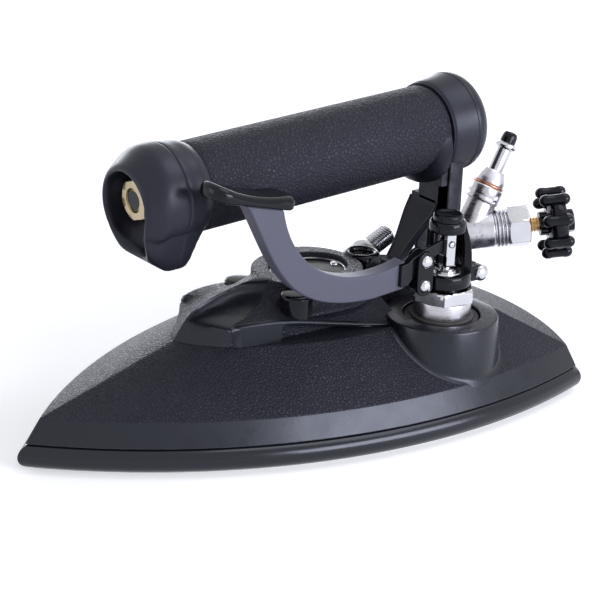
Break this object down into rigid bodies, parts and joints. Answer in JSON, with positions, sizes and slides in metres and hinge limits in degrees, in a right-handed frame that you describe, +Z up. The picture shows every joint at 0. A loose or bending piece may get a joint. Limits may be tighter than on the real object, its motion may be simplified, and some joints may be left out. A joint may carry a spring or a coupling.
{
  "type": "industrial steam iron",
  "caption": "All-steam pressing iron: pointed sole, textured cover, cantilever handle, thumb lever that lifts a steam valve, hand needle valve and hose nipple.",
  "frame": {"origin": "centre of the sole's ironing surface, halfway from nose to heel", "axes": "+X from nose to heel, +Y away from the lever's side, +Z up"},
  "size_m": [0.2333, 0.124, 0.1107],
  "materials": {
    "aluminium": "satin",
    "sealing": "matte",
    "bead_black": "satin",
    "grain_black": "textured",
    "plate_black": "gloss",
    "gloss_black": "gloss",
    "lever_black": "satin",
    "grip_rubber": "leather grain",
    "cap_black": "satin",
    "steel": "satin",
    "zinc": "passivated",
    "chrome": "polished",
    "nickel": "cast, plated",
    "brass": "turned",
    "copper": "annealed"
  },
  "bodies": {
    "iron": {"sole_plate": "aluminium", "sole_gasket": "sealing", "base_casting": "bead_black", "sole_screws": "steel", "cover": "grain_black", "turret_cover": "grain_black", "nameplate": "plate_black", "nameplate_screws": "chrome", "centre_plug": "gloss_black", "plug_washer": "copper", "cover_screws": "steel", "screw_caps": "gloss_black", "valve_seat": "brass", "valve_spring": "steel", "bonnet_gasket": "sealing", "valve_bonnet": "chrome", "valve_packing": "sealing", "gland_ring": "chrome", "clamp_collar": "gloss_black", "clamp_screw": "chrome", "valve_arch": "gloss_black", "arch_cap": "gloss_black", "handle_bracket": "lever_black", "bracket_bolts": "steel", "handle_tube": "steel", "grip": "grip_rubber", "front_bumper": "cap_black", "rear_cap": "cap_black", "tie_rod": "zinc", "tie_nut": "zinc", "tie_washer": "chrome", "rear_nut": "zinc", "fitting_gasket": "copper", "fitting_body": "nickel", "gland_nut": "chrome", "needle_packing": "sealing", "branch_nut": "chrome", "copper_washer": "copper", "nipple_collar": "nickel", "hose_nipple": "chrome", "drain_nipple": "nickel"},
    "link": {"link_plate_near": "gloss_black", "link_plate_far": "gloss_black", "upper_rivet": "chrome", "lower_rivet": "chrome"},
    "lever": {"lever_arm": "lever_black", "thumb_pad": "gloss_black"},
    "stem": {"valve_stem": "chrome", "stem_pin": "chrome", "valve_disc": "steel"},
    "needle": {"needle_stem": "brass"},
    "wheel": {"handwheel": "gloss_black", "wheel_nut": "gloss_black"}
  },
  "joints": [
    {"name": "link_swing", "type": "hinge", "parent": "iron", "child": "link", "pos_m": [0.0295, -0.0355, 0.0495], "axis": [0, 1, 0], "range_deg": [0, 4]},
    {"name": "lever_press", "type": "hinge", "parent": "link", "child": "lever", "pos_m": [0.0295, -0.0355, 0.0585], "axis": [0, -1, 0], "range_deg": [0, 12], "stiffness_Nm_per_rad": 1, "springref_deg": -11.46},
    {"name": "stem_lift", "type": "slide", "parent": "iron", "child": "stem", "axis": [0, 0, 1], "range_m": [0, 0.0018], "deforming": ["valve_spring"]},
    {"name": "needle_travel", "type": "slide", "parent": "iron", "child": "needle", "axis": [0.826, -0.5488, 0.1288], "range_m": [-0.00249, 0.00124]},
    {"name": "wheel_turn", "type": "hinge", "parent": "needle", "child": "wheel", "pos_m": [0.0847, 0, 0.0475], "axis": [0.826, -0.5488, 0.1288], "range_deg": [-720, 360]}
  ],
  "couplings": [
    {"joint": "link_swing", "follows": "lever_press", "ratio": 0.3275},
    {"joint": "stem_lift", "follows": "lever_press", "m_per_rad": 0.00819},
    {"joint": "wheel_turn", "follows": "needle_travel", "rad_per_m": 5026.5}
  ]
}
